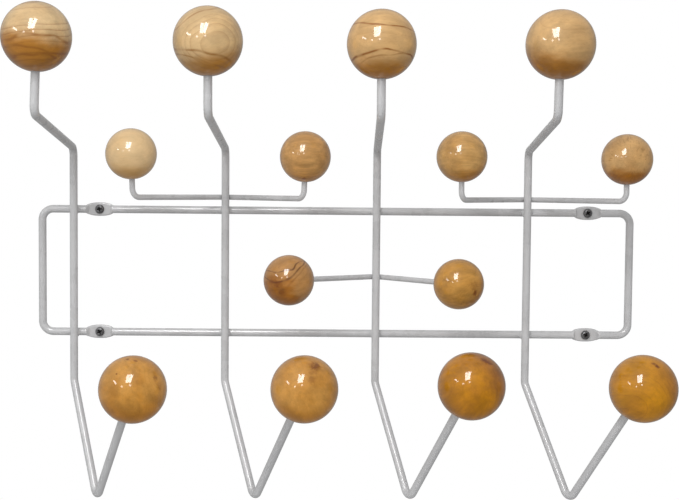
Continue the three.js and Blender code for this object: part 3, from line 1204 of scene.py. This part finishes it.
@dataclass
class Screw:
    """A round-head wood screw with a cross recess, driven through a pad.

    The crown is the flat top's radius, as a share of the head's. The dome goes on down from it,
    each step a share of the head's radius and of its height. The recess's floor and taper are
    shares of its size at the top, the shank is a share of the thread's crest, the thread's root
    is a share of the core, and half its foot is a share of its pitch.
    """

    node: str
    plating: ZincPlate
    turn: float
    head: float = 7.4 * MM
    head_height: float = 2.4 * MM
    length: float = 32.0 * MM
    seat: float = 3.05 * MM
    core: float = 2.5 * MM
    crest: float = 3.7 * MM
    pitch: float = 1.6 * MM
    plain: float = 9.0 * MM
    point: float = 6.0 * MM
    recess_span: float = 4.5 * MM
    recess_width: float = 1.15 * MM
    recess_depth: float = 1.6 * MM
    recess_floor: float = 0.55
    recess_taper: float = 0.75
    recess_fillet: float = 1.25
    shank_share: float = 0.96
    overlap: float = 0.05 * MM
    run_out: float = 0.8 * MM
    thread_gap: float = 1.0 * MM
    thread_root: float = 0.9
    thread_half: float = 0.30
    merge: float = 0.002 * MM
    crown: float = 0.62
    dome: tuple[tuple[float, float], ...] = (
        (0.62, 0.96), (0.80, 0.84), (0.93, 0.62), (1.0, 0.34), (1.0, 0.08), (0.96, 0.0))
    head_sides: int = 48
    shank_sides: int = 32
    thread_sides: int = 24

    def build(self) -> bpy.types.Object:
        """Builds the screw.

        Returns:
            The piece that stands for the screw's node.
        """
        bm = bmesh.new()
        self.add_head(bm)
        self.add_shank(bm)
        self.add_thread(bm)
        centre = centre_of(self.node)
        facing = (Matrix.Translation((centre.x, -self.seat, centre.z))
                  @ Matrix.Rotation(math.pi / 2, 4, "X") @ Matrix.Rotation(math.radians(self.turn), 4, "Z"))
        bmesh.ops.transform(bm, matrix=facing, verts=bm.verts)
        face = Vector((centre.x, -self.seat - self.head_height, centre.z))
        radius = self.head / 2
        plating = self.plating.make(f"zinc_{self.node}", face, radius, self.crown * radius)
        return finish_piece(f"{self.node}_driven", bm, plating, [self.node])

    def recess_outline(self, scale: float) -> list[tuple[float, float]]:
        """Gives the cross recess's corners, counter-clockwise.

        Args:
            scale: How long its arms are, as a share of their full length.

        Returns:
            The corners.
        """
        span = self.recess_span / 2 * scale
        half = self.recess_width / 2 * (0.4 + 0.6 * scale)
        corners = []
        for quarter in range(4):
            cos, sin = round(math.cos(quarter * math.pi / 2)), round(math.sin(quarter * math.pi / 2))
            for x, y in ((span, -half), (span, half), (half * self.recess_fillet, half * self.recess_fillet)):
                corners.append((cos * x - sin * y, sin * x + cos * y))
        return corners

    def add_head(self, bm: bmesh.types.BMesh) -> None:
        """Adds the domed head and sinks the cross recess into it.

        Args:
            bm: The screw's mesh, its head upwards and its seat at height 0.
        """
        rim = self.head / 2
        outline = self.recess_outline(1.0)
        inner = [bm.verts.new((x, y, self.head_height)) for x, y in outline]
        inner_edges = [bm.edges.new((a, b)) for a, b in zip(inner, inner[1:] + inner[:1])]
        shrink, bottom = self.recess_floor, self.head_height - self.recess_depth
        floor = [bm.verts.new((x * shrink, y * shrink, bottom))
                 for x, y in self.recess_outline(self.recess_taper)]
        floor_edges = [bm.edges.new((a, b)) for a, b in zip(floor, floor[1:] + floor[:1])]
        bmesh.ops.bridge_loops(bm, edges=inner_edges + floor_edges)
        bmesh.ops.edgeloop_fill(bm, edges=floor_edges)
        previous = inner_edges
        for share, height in ((self.crown, 1.0), *self.dome):
            ring = bmesh.ops.create_circle(bm, cap_ends=False, radius=rim * share, segments=self.head_sides,
                                           matrix=Matrix.Translation((0, 0, self.head_height * height)))
            edges = WireFormer.edges_within(ring["verts"])
            bmesh.ops.bridge_loops(bm, edges=previous + edges)
            previous = edges
        bmesh.ops.edgeloop_fill(bm, edges=previous)

    def add_shank(self, bm: bmesh.types.BMesh) -> None:
        """Adds the core of the shank, plain under the head and tapered to the point.

        Args:
            bm: The screw's mesh.
        """
        shank = self.crest / 2 * self.shank_share
        profile = [(0, self.overlap), (shank, self.overlap), (shank, -self.plain),
                   (self.core / 2, -self.plain - self.run_out), (self.core / 2, -self.length + self.point),
                   (0, -self.length)]
        verts = [bm.verts.new((x, 0, z)) for x, z in profile]
        edges = [bm.edges.new(pair) for pair in zip(verts, verts[1:])]
        bmesh.ops.spin(bm, geom=[*verts, *edges], cent=(0, 0, 0), axis=(0, 0, 1), dvec=(0, 0, 0),
                       angle=2 * math.pi, steps=self.shank_sides, use_merge=True, use_duplicate=False)
        bmesh.ops.remove_doubles(bm, verts=bm.verts, dist=self.merge)

    def add_thread(self, bm: bmesh.types.BMesh) -> None:
        """Winds the thread round the core.

        Args:
            bm: The screw's mesh.
        """
        top = -self.plain - self.thread_gap
        wound = self.length - self.point - self.plain - self.thread_gap
        turns = wound / self.pitch
        half = self.thread_half * self.pitch
        inner, outer = self.core / 2 * self.thread_root, self.crest / 2
        corners = [(inner, top + half), (outer, top), (inner, top - half)]
        verts = [bm.verts.new((x, 0, z)) for x, z in corners]
        edges = [bm.edges.new((a, b)) for a, b in zip(verts, verts[1:] + verts[:1])]
        steps = round(self.thread_sides * turns)
        made = bmesh.ops.spin(bm, geom=[*verts, *edges], cent=(0, 0, 0), axis=(0, 0, 1),
                              dvec=(0, 0, -wound / steps), angle=2 * math.pi * turns, steps=steps,
                              use_merge=False, use_duplicate=False)
        last = [item for item in made["geom_last"] if isinstance(item, bmesh.types.BMEdge)]
        bmesh.ops.edgeloop_fill(bm, edges=edges)
        bmesh.ops.edgeloop_fill(bm, edges=last)


# ---------------------------------------------------------------- the rack


END_GRAIN = (90, 0, 0)

# One wood for each ball, by its node's name
MAPLES = {
    "top_ball_1": Maple(
        early=linear(206, 176, 131), late=linear(136, 82, 28), warm_tone_and_shade=linear(172, 115, 40), slot=Slot.PALE,
        turn=(3, 87, 0), heart=(2.1, 0.7), ring_width=0.16, ring_depth=0.75, wander=0.14, streaks=0.16,
        mottle=0.15,
        shade_flush=ShadeFlush(towards=(-0.15, 0, -1), start=-0.2, full=0.3, ragged=0.3),
        veins=(
            Vein(tilt=0, offset=-0.62, width=0.05, depth=0.75, bow=0.14),
            Vein(tilt=-3, offset=-0.08, width=0.06, depth=0.6, bow=0.14),
            Vein(tilt=3, offset=-0.42, width=0.04, depth=0.7, bow=0.1, wave=0.15, seed=4.0),
        ),
        seed=1.3,
    ),
    "top_ball_2": Maple(
        early=linear(208, 175, 127), late=linear(146, 98, 44), warm_tone_and_shade=linear(172, 117, 42), slot=Slot.PALE,
        turn=(0, 74, 14), heart=(-0.55, 2.78), ring_width=0.13, ring_depth=0.45, sharpness=4.0, wander=0.2,
        streaks=0.1, mottle=0.1,
        shade_flush=ShadeFlush(towards=(0.25, 0, -1), start=0.2, full=0.85, ragged=0.3),
        veins=(
            Vein(tilt=12, offset=-0.43, width=0.045, depth=0.9, bow=0.06, wave=0.12),
            Vein(tilt=17, offset=-0.6, width=0.035, depth=0.7, bow=0.1, wave=0.14, seed=3.0),
            Vein(tilt=-27, offset=0.74, width=0.035, depth=0.6, bow=0.12, wave=0.12, seed=6.0),
        ),
        seed=4.1,
    ),
    "top_ball_3": Maple(
        early=linear(207, 166, 111), late=linear(132, 74, 18), warm_tone_and_shade=linear(176, 116, 34), slot=Slot.PALE,
        heart=(2.4, 0.3), ring_width=0.21, ring_depth=0.2, streaks=0.1, mottle=0.12,
        shade_flush=ShadeFlush(towards=(0, 0, -1), start=0.3, full=0.85, ragged=0.25),
        veins=(
            Vein(tilt=4, offset=0.45, width=0.032, depth=0.9, bow=0.02, wave=0.16, seed=2.0),
            Vein(tilt=0, offset=-0.28, width=0.038, depth=0.95, bow=0.2, wave=0.16, seed=5.0),
            Vein(tilt=-11, offset=-0.4, width=0.03, depth=0.5, bow=0.2, wave=0.16, seed=9.0),
        ),
        seed=7.7,
    ),
    "top_ball_4": Maple(
        early=linear(204, 164, 110), late=linear(150, 96, 40), warm_tone_and_shade=linear(162, 107, 36), slot=Slot.PALE,
        turn=(0, 84, 20), heart=(2.0, 1.2), ring_width=0.17, ring_depth=0.24, streaks=0.12, mottle=0.12,
        shade_flush=ShadeFlush(towards=(-0.15, 0, -1), start=0.12, full=0.72, ragged=0.28),
        knots=(
            Knot(right=-15, up=10, size=0.035, depth=0.4, pull=0.4),
        ),
        seed=2.9,
    ),
    "upper_arm_left_ball_left": Maple(
        early=linear(218, 186, 139), late=linear(186, 142, 90), warm_tone_and_shade=linear(196, 148, 82), slot=Slot.PALE,
        heart=(1.4, 1.6), ring_depth=0.2, streaks=0.07, mottle=0.12, flecks=0.1, clouds=0.06,
        shade_flush=ShadeFlush(towards=(0, 0, -1), start=0.2, full=1.0, ragged=0.3),
        seed=6.2,
    ),
    "upper_arm_left_ball_right": Maple(
        early=linear(192, 145, 86), late=linear(146, 94, 42), warm_tone_and_shade=linear(188, 132, 66), slot=Slot.HONEY,
        heart=(2.6, 0.2), ring_width=0.11, ring_depth=0.3, streaks=0.3, streak_count=5.5, mottle=0.3,
        shade_flush=ShadeFlush(towards=(0, 0, -1), start=0.55, full=1.0, ragged=0.25),
        knots=(
            Knot(right=-5, up=-60, size=0.12, depth=0.6, pull=0.3),
        ),
        seed=3.4,
    ),
    "upper_arm_right_ball_left": Maple(
        early=linear(199, 155, 93), late=linear(150, 98, 42), warm_tone_and_shade=linear(178, 120, 44), slot=Slot.HONEY,
        heart=(2.6, -0.3), ring_width=0.12, ring_depth=0.3, streaks=0.26, streak_count=5.0, mottle=0.3,
        shade_flush=ShadeFlush(towards=(0.3, 0, -1), start=0.3, full=0.95, ragged=0.3),
        seed=9.6,
    ),
    "upper_arm_right_ball_right": Maple(
        early=linear(204, 161, 104), late=linear(128, 80, 34), warm_tone_and_shade=linear(164, 104, 30), slot=Slot.HONEY,
        turn=END_GRAIN, heart=(0.15, 0.1), ring_width=0.24, ring_depth=0.2, streaks=0.12, mottle=0.2,
        rays=0.28, flecks=0.2,
        shade_flush=ShadeFlush(towards=(0, 0, -1), start=0.15, full=0.7, ragged=0.3),
        seed=5.5,
    ),
    "middle_arm_ball_left": Maple(
        early=linear(184, 135, 78), late=linear(88, 50, 26), warm_tone_and_shade=linear(164, 104, 34), slot=Slot.AMBER,
        turn=(20, 60, 30), heart=(1.2, 1.1), ring_width=0.2, ring_depth=0.25, streaks=0.14, mottle=0.25,
        mottle_size=1.3,
        shade_flush=ShadeFlush(towards=(-0.45, -0.6, -0.55), start=0.4, full=0.8, ragged=0.5),
        knots=(
            Knot(right=-25, up=-5, size=0.2, depth=0.6, pull=0.6),
            Knot(right=-40, up=0, size=0.13, depth=0.6, pull=0.4),
            Knot(right=-15, up=-25, size=0.16, depth=0.5, pull=0.4),
        ),
        veins=(
            Vein(tilt=-15, offset=0.42, width=0.035, depth=0.9, bow=-0.45, wave=0.3, seed=1.2),
            Vein(tilt=-23, offset=0.05, width=0.05, depth=0.8, bow=-0.6, wave=0.16, seed=3.3),
            Vein(tilt=-35, offset=-0.1, width=0.05, depth=0.35, bow=-0.3, wave=0.2, seed=6.1),
        ),
        seed=8.8,
    ),
    "middle_arm_ball_right": Maple(
        early=linear(192, 140, 64), late=linear(126, 76, 26), warm_tone_and_shade=linear(168, 112, 34), slot=Slot.AMBER,
        turn=(10, 80, 20), heart=(1.3, 1.5), ring_width=0.15, ring_depth=0.5, streaks=0.14, mottle=0.4,
        clouds=0.16,
        shade_flush=ShadeFlush(towards=(0.8, 0, -0.5), start=0.4, full=0.95, ragged=0.4),
        knots=(
            Knot(right=35, up=-15, size=0.13, depth=0.85, pull=1.6),
            Knot(right=30, up=0, size=0.24, depth=0.35, pull=0.8),
        ),
        seed=10.4,
    ),
    "bottom_ball_1": Maple(
        early=linear(196, 141, 64), late=linear(144, 86, 26), warm_tone_and_shade=linear(184, 122, 36), slot=Slot.AMBER,
        turn=(70, 20, 0), heart=(1.2, 1.0), ring_width=0.22, ring_depth=0.25, streaks=0.1, mottle=0.6,
        mottle_size=1.6, clouds=0.15, flecks=0.3,
        knots=(
            Knot(right=-15, up=70, size=0.06, depth=0.8, pull=0.5),
            Knot(right=20, up=65, size=0.06, depth=0.7, pull=0.5),
            Knot(right=-25, up=35, size=0.03, depth=0.9, pull=0.5),
            Knot(right=55, up=25, size=0.11, depth=0.5, pull=0.5),
            Knot(right=60, up=10, size=0.16, depth=0.35, pull=0.3),
        ),
        seed=11.9,
    ),
    "bottom_ball_2": Maple(
        early=linear(197, 142, 66), late=linear(150, 90, 26), warm_tone_and_shade=linear(182, 120, 32), slot=Slot.AMBER,
        turn=(60, -15, 0), heart=(1.5, 0.8), ring_width=0.25, ring_depth=0.25, streaks=0.1, mottle=0.45,
        mottle_size=1.3, clouds=0.14,
        shade_flush=ShadeFlush(towards=(-0.1, 0.1, -1), start=0.0, full=0.7, ragged=0.45, depth=0.7),
        knots=(
            Knot(right=30, up=50, size=0.2, depth=0.8, pull=1.2),
            Knot(right=15, up=25, size=0.13, depth=0.35, pull=0.3),
            Knot(right=20, up=40, size=0.14, depth=0.35, pull=0.3),
        ),
        seed=13.2,
    ),
    "bottom_ball_3": Maple(
        early=linear(188, 124, 12), late=linear(122, 72, 20), warm_tone_and_shade=linear(156, 100, 40), slot=Slot.AMBER,
        turn=(50, 30, 0), heart=(1.4, 0.9), ring_width=0.22, ring_depth=0.3, streaks=0.12, mottle=0.4,
        mottle_size=1.2, clouds=0.16,
        shade_flush=ShadeFlush(towards=(1, 0.1, 0.45), start=0.1, full=0.75, ragged=0.5, depth=0.8),
        knots=(
            Knot(right=35, up=55, size=0.13, depth=0.9, pull=1.0),
            Knot(right=45, up=50, size=0.12, depth=0.85, pull=1.0),
            Knot(right=45, up=30, size=0.22, depth=0.2, pull=0.4),
        ),
        seed=15.1,
    ),
    "bottom_ball_4": Maple(
        early=linear(194, 132, 20), late=linear(138, 84, 24), warm_tone_and_shade=linear(178, 116, 38), slot=Slot.AMBER,
        turn=(75, 10, 20), heart=(0.9, 0.9), ring_width=0.15, ring_depth=0.45, wander=0.2, streaks=0.1,
        mottle=0.4, clouds=0.14,
        shade_flush=ShadeFlush(towards=(1, 0.1, 0.2), start=0.15, full=0.8, ragged=0.5, depth=0.7),
        knots=(
            Knot(right=20, up=50, size=0.09, depth=0.95, pull=1.2),
            Knot(right=15, up=55, size=0.08, depth=0.7, pull=0.6),
        ),
        seed=17.6,
    ),
}


@dataclass
class Rack:
    """The whole rack: the loop, its screws, the hooks, the arms, the welds and the balls."""

    large_radius: float = 25.0 * MM
    small_radius: float = 19.5 * MM
    middle_height: float = -3.4 * MM
    arm_weld: Triple = (8.4 * MM, 3.4 * MM, 6.0 * MM)
    screw_turns: tuple[tuple[str, float], ...] = (
        ("top_left", 12), ("top_right", 38), ("bottom_left", 27), ("bottom_right", 66))

    def build(self) -> None:
        """Builds every piece in order."""
        paint = Enamel().make("light_grey_enamel")
        plating = ZincPlate()
        loop = WallLoop(paint)
        loop.build()
        for place, turn in self.screw_turns:
            Screw(f"wall_screw_{place}", plating, turn).build()
        hooks = [Hook(number, paint) for number in range(1, 5)]
        for hook in hooks:
            hook.build()
            self.build_hook_balls(hook)
            self.weld_hook(hook, loop)
        arms = [
            Arm("upper_arm_left", hooks[1], paint, turns=(-65 * MM, 66 * MM)),
            Arm("upper_arm_right", hooks[3], paint, turns=(-63 * MM, 64 * MM)),
            Arm("middle_arm", hooks[2], paint, height=self.middle_height),
        ]
        for arm in arms:
            arm.build()
            self.build_arm_balls(arm)
            self.weld_arm(arm)

    def build_hook_balls(self, hook: Hook) -> None:
        """Builds a hook's two large balls.

        Args:
            hook: The hook.
        """
        for row, start in (("top", hook.shelf_corner), ("bottom", hook.tip)):
            node = f"{row}_ball_{hook.number}"
            Ball(node, MAPLES[node], hook.wire, start, self.large_radius).build()

    def build_arm_balls(self, arm: Arm) -> None:
        """Builds an arm's two small balls.

        Args:
            arm: The arm.
        """
        starts = arm.run_ends if arm.turns else [arm.fold_corner(*arm.run_ends)] * 2
        for side, start in zip(("left", "right"), starts):
            node = f"{arm.node}_ball_{side}"
            Ball(node, MAPLES[node], arm.wire, start, self.small_radius).build()

    def weld_hook(self, hook: Hook, loop: WallLoop) -> None:
        """Welds a hook to the loop's two bars.

        Args:
            hook: The hook.
            loop: The loop.
        """
        meeting = hook.foot.y + hook.wire / 2
        for row, height in (("top", loop.screws[0].z), ("bottom", loop.screws[2].z)):
            place = Vector((hook.foot.x, meeting, height))
            Weld(f"weld_hook_{hook.number}_{row}_bar", place, hook.paint).build()

    def weld_arm(self, arm: Arm) -> None:
        """Welds an arm behind its hook.

        Args:
            arm: The arm.
        """
        foot = arm.hook.foot
        place = Vector((foot.x, foot.y + arm.hook.wire / 2, arm.height))
        Weld(f"weld_{arm.node}", place, arm.paint, self.arm_weld).build()


# ---------------------------------------------------------------- stage


@dataclass(frozen=True)
class SoftBox:
    """A rectangular studio light that faces the rack, with one strength for matt and one for gloss."""

    name: str
    place: Triple
    size: tuple[float, float]
    shade: float
    glint: float
    roll: float = 0.0
    front: float = 10 * MM

    def build(self, target: Vector) -> None:
        """Hangs the light, as one lamp that lights surfaces and one that shows in gloss.

        Args:
            target: What it faces.
        """
        facing = (Vector(self.place) - target).to_track_quat("Z", "Y")
        facing = facing @ Euler((0, 0, math.radians(self.roll))).to_quaternion()
        inwards = (target - Vector(self.place)).normalized()
        for radiance, in_gloss in ((self.shade, False), (self.glint, True)):
            if not radiance:
                continue
            data = bpy.data.lights.new(self.name, "AREA")
            data.shape = "RECTANGLE"
            data.size, data.size_y = self.size
            data.energy = radiance * math.pi * self.size[0] * self.size[1]
            light = bpy.data.objects.new(self.name, data)
            light.location = Vector(self.place) + (self.front if in_gloss else 0) * inwards
            light.rotation_mode = "QUATERNION"
            light.rotation_quaternion = facing
            light.visible_camera = False
            light.visible_glossy = in_gloss
            light.visible_diffuse = not in_gloss
            bpy.context.scene.collection.objects.link(light)


@dataclass
class Studio:
    """The pale floor, the white surroundings, the soft lights and the camera."""

    floor_drop: float = 1.5
    floor_radius: float = 1.7
    backdrop: float = 1.0
    ambient: float = 0.478
    ambient_slope: Triple = (-0.03, -0.275, 0.205)
    mirrored: float = 0.22
    mirrored_slope: Triple = (-0.08, 0.16, 0.1)
    lens: float = 63.07
    eye: Triple = (-0.0155, -0.994, 0.0706)
    gaze: Triple = (0.0119, 0.9985, -0.0523)
    roll: float = 0.5
    nearest: float = 0.05
    furthest: float = 50.0
    boxes: tuple[SoftBox, ...] = (
        SoftBox("key_box_left", (-0.330, -0.870, 0.700), (0.155, 0.56), 8.4, 12.0, roll=7),
        SoftBox("key_box_right", (-0.155, -0.880, 0.715), (0.165, 0.56), 9.8, 14.0, roll=-5),
        SoftBox("strip_left", (-1.30, -0.80, 0.54), (0.44, 0.11), 7.0, 10.0, roll=-22),
        SoftBox("spot_left", (-0.87, -1.46, 0.385), (0.17, 0.13), 6.0, 9.0),
        SoftBox("spot_front", (-0.15, -1.10, 0.345), (0.11, 0.09), 6.0, 9.0),
        SoftBox("bounce", (0.05, -0.40, -0.42), (0.9, 0.2), 0.85, 0.0),
        SoftBox("fill_behind", (0.05, 1.60, 0.30), (0.5, 0.4), 12.0, 0.0),
    )

    def build(self) -> None:
        """Sets up everything round the rack."""
        low, high = CAD_BOUNDS
        target = (low + high) / 2
        self.build_floor(target)
        self.build_world()
        for box in self.boxes:
            box.build(target)
        self.build_camera()
        bpy.context.scene.view_settings.view_transform = "Standard"

    def build_floor(self, target: Vector) -> None:
        """Lays the floor well below the rack.

        Args:
            target: The rack's middle.
        """
        bm = bmesh.new()
        place = Matrix.Translation((target.x, target.y, target.z - self.floor_drop))
        bmesh.ops.create_circle(bm, cap_ends=True, radius=self.floor_radius, segments=96, matrix=place)
        mesh = bpy.data.meshes.new("floor")
        bm.to_mesh(mesh)
        bm.free()
        mesh.materials.append(Card().make("floor_card"))
        floor = bpy.data.objects.new("floor", mesh)
        floor.visible_diffuse = False
        floor.visible_glossy = False
        bpy.context.scene.collection.objects.link(floor)

    def build_world(self) -> None:
        """Makes the surroundings: white to look at, and as a light brightest in front and above."""
        world = bpy.data.worlds.new("surroundings")
        bpy.context.scene.world = world
        world.use_nodes = True
        tree = world.node_tree
        sky = tree.nodes["Background"]
        towards = tree.nodes.new("ShaderNodeTexCoord")
        ray = tree.nodes.new("ShaderNodeLightPath")
        soft = self.add_gradient(tree, towards, self.ambient, self.ambient_slope)
        sharp = self.add_gradient(tree, towards, self.mirrored, self.mirrored_slope)
        lit = tree.nodes.new("ShaderNodeMapRange")
        tree.links.new(ray.outputs["Is Glossy Ray"], lit.inputs["Value"])
        tree.links.new(soft, lit.inputs["To Min"])
        tree.links.new(sharp, lit.inputs["To Max"])
        shown = tree.nodes.new("ShaderNodeMapRange")
        shown.inputs["To Max"].default_value = self.backdrop
        tree.links.new(ray.outputs["Is Camera Ray"], shown.inputs["Value"])
        tree.links.new(lit.outputs[0], shown.inputs["To Min"])
        tree.links.new(shown.outputs[0], sky.inputs["Strength"])
        sky.inputs["Color"].default_value = (1.0, 1.0, 1.0, 1.0)

    @staticmethod
    def add_gradient(tree: bpy.types.NodeTree, towards: bpy.types.Node, level: float,
                     slope: Triple) -> Socket:
        """Adds a brightness that changes steadily with the direction.

        Args:
            tree: The surroundings' nodes.
            towards: The node that gives the direction.
            level: The brightness at right angles to the slope.
            slope: What each axis adds to it.

        Returns:
            The brightness.
        """
        dot = tree.nodes.new("ShaderNodeVectorMath")
        dot.operation = "DOT_PRODUCT"
        dot.inputs[1].default_value = slope
        total = tree.nodes.new("ShaderNodeMath")
        total.inputs[1].default_value = level
        tree.links.new(towards.outputs["Generated"], dot.inputs[0])
        tree.links.new(dot.outputs["Value"], total.inputs[0])
        return total.outputs[0]

    def build_camera(self) -> None:
        """Sets up the camera."""
        data = bpy.data.cameras.new("camera")
        data.sensor_width = 36.0
        data.lens = self.lens
        data.clip_start, data.clip_end = self.nearest, self.furthest
        camera = bpy.data.objects.new("camera", data)
        camera.location = self.eye
        camera.rotation_mode = "QUATERNION"
        facing = Vector(self.gaze).to_track_quat("-Z", "Y")
        camera.rotation_quaternion = facing @ Euler((0, 0, math.radians(self.roll))).to_quaternion()
        bpy.context.scene.collection.objects.link(camera)
        bpy.context.scene.camera = camera


def main() -> None:
    """Builds the rack and everything round it."""
    logging.basicConfig(level=logging.INFO, format="%(name)s: %(message)s")
    Studio().build()
    Rack().build()


if __name__ == "__main__":
    main()
